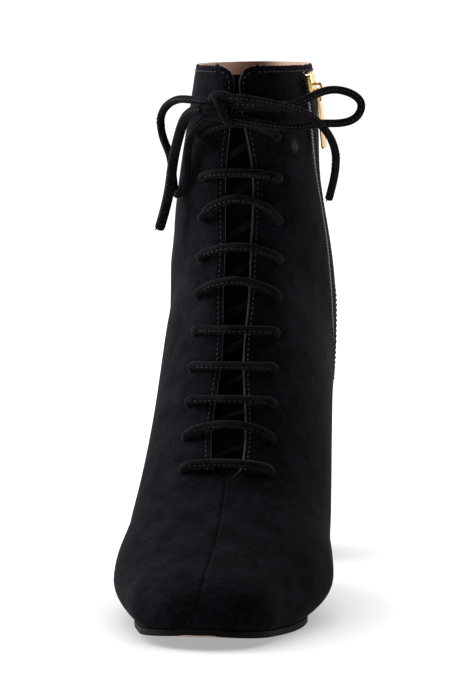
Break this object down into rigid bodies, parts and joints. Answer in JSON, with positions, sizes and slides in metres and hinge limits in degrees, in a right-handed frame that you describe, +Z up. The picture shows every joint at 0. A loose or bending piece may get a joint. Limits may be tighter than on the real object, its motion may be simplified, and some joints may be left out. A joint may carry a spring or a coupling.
{
  "type": "lace-up boot",
  "caption": "Lace-up ankle boot in black suede with a square toe, a covered block heel, a thin sole and a zip on the inner side; right boot, hollow, with the lace tied in a bow",
  "frame": {"origin": "Middle of the boot's outline at floor level, the bow left out", "axes": "+Z up from the floor, +Y from the toe to the heel, +X to the inner side of this right boot"},
  "size_m": [0.0898, 0.2405, 0.2151],
  "materials": {
    "suede": "black suede with a fine nap, tan lining",
    "tongue_leather": "smooth black leather",
    "lining_leather": "tan lining leather",
    "sole_leather": "black dyed edge, beige underside",
    "heel_cover": "black suede over a rigid core",
    "heel_rubber": "dark grey, half gloss",
    "zip_fabric": "black woven tape",
    "zip_coil": "black coil",
    "zip_metal": "polished gold colour",
    "lace": "black suede cord, stitched along its length"
  },
  "bodies": {
    "boot": {"upper": "suede", "tongue": "tongue_leather", "insole": "lining_leather", "outsole": "sole_leather", "heel_block": "heel_cover", "heel_top_piece": "heel_rubber", "zip_tape": "zip_fabric", "zip_chain": "zip_coil", "zip_slider": "zip_metal", "lace_bars": "lace", "lace_knot": "lace", "lace_loop_left": "lace", "lace_loop_right": "lace", "lace_end_left": "lace", "lace_end_right": "lace"},
    "pull": {"zip_pull": "zip_metal"}
  },
  "joints": [
    {"name": "pull_swing", "type": "hinge", "parent": "boot", "child": "pull", "pos_m": [0.02581, 0.04657, 0.2046], "axis": [-0.1373, -0.9682, -0.2093], "range_deg": [0, 150]}
  ]
}
